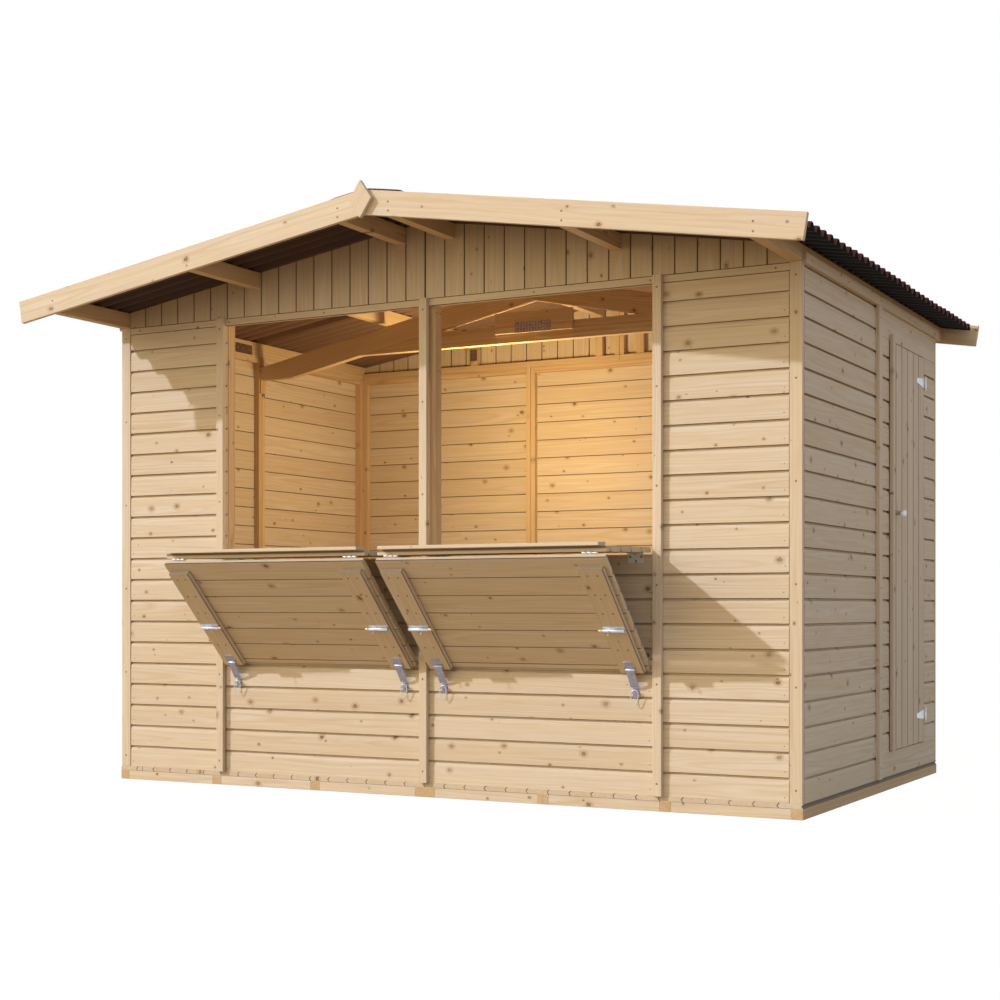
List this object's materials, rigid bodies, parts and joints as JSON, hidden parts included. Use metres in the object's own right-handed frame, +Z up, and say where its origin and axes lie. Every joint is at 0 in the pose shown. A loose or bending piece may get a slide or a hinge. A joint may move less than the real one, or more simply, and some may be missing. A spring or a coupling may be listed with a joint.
{
  "type": "wooden market stall",
  "caption": "Boarded timber stall with a low pitched corrugated roof, serving openings with hinged let-down counters propped by folding leaves, and a hinged side door.",
  "frame": {"origin": "centre of the footprint, on the level that the floor joists rest on", "axes": "+X to the right along the serving front, +Y towards the back, +Z up"},
  "size_m": [3.312, 2.486, 2.2642],
  "materials": {
    "spruce_board": "planed untreated spruce boards",
    "spruce_frame": "sawn and planed spruce",
    "roof_sheet": "dark red bitumen fibre sheet, matt",
    "zinc_steel": "bright zinc plated"
  },
  "bodies": {
    "frame": {"back_frame": "spruce_frame", "back_wall": "spruce_board", "bargeboards": "spruce_board", "cover_battens": "spruce_board", "eave_covers": "spruce_board", "finials": "spruce_board", "floor_boards": "spruce_board", "floor_joists": "spruce_frame", "floor_rims": "spruce_frame", "front_frame": "spruce_frame", "front_head_rail": "spruce_board", "front_walls": "spruce_board", "gable_frames": "spruce_frame", "gables": "spruce_board", "hasp_staples": "zinc_steel", "left_wall": "spruce_board", "purlins": "spruce_frame", "ridge_cap": "roof_sheet", "right_wall_beside_door": "spruce_board", "right_wall_front": "spruce_board", "right_wall_over_door": "spruce_board", "right_wall_threshold": "spruce_board", "roof_sheets": "roof_sheet", "side_frames": "spruce_frame", "sill_walls": "spruce_board", "truss_collar": "spruce_frame", "truss_gusset": "spruce_frame", "truss_pads": "spruce_frame", "truss_rafters": "spruce_frame", "wall_hinges": "zinc_steel"},
    "counter_left": {"counter_board_left": "spruce_board", "counter_strip_left": "spruce_board", "counter_hinges_left": "zinc_steel"},
    "counter_right": {"counter_board_right": "spruce_board", "counter_strip_right": "spruce_board", "counter_hinges_right": "zinc_steel"},
    "brace_left": {"brace_board_left": "spruce_board", "brace_ledges_left": "spruce_board", "brace_hardware_left": "zinc_steel"},
    "brace_right": {"brace_board_right": "spruce_board", "brace_ledges_right": "spruce_board", "brace_hardware_right": "zinc_steel"},
    "door": {"door_leaf": "spruce_board", "door_ledges": "spruce_board", "door_strip": "spruce_board", "door_straps": "zinc_steel", "door_knob": "zinc_steel"}
  },
  "joints": [
    {"name": "door_hinge", "type": "hinge", "parent": "frame", "child": "door", "pos_m": [1.504, 0.7235, 0.973], "axis": [0, 0, 1], "range_deg": [0, 160]},
    {"name": "counter_hinge_left", "type": "hinge", "parent": "frame", "child": "counter_left", "pos_m": [-0.4835, -0.937, 0.92], "axis": [-1, 0, 0], "range_deg": [0, 91.2]},
    {"name": "brace_hinge_left", "type": "hinge", "parent": "counter_left", "child": "brace_left", "pos_m": [-0.4835, -1.32292, 0.91192], "axis": [-1, 0, 0], "range_deg": [0, 133.53]},
    {"name": "counter_hinge_right", "type": "hinge", "parent": "frame", "child": "counter_right", "pos_m": [0.4835, -0.937, 0.92], "axis": [-1, 0, 0], "range_deg": [0, 91.2]},
    {"name": "brace_hinge_right", "type": "hinge", "parent": "counter_right", "child": "brace_right", "pos_m": [0.4835, -1.32292, 0.91192], "axis": [-1, 0, 0], "range_deg": [0, 133.53]}
  ]
}
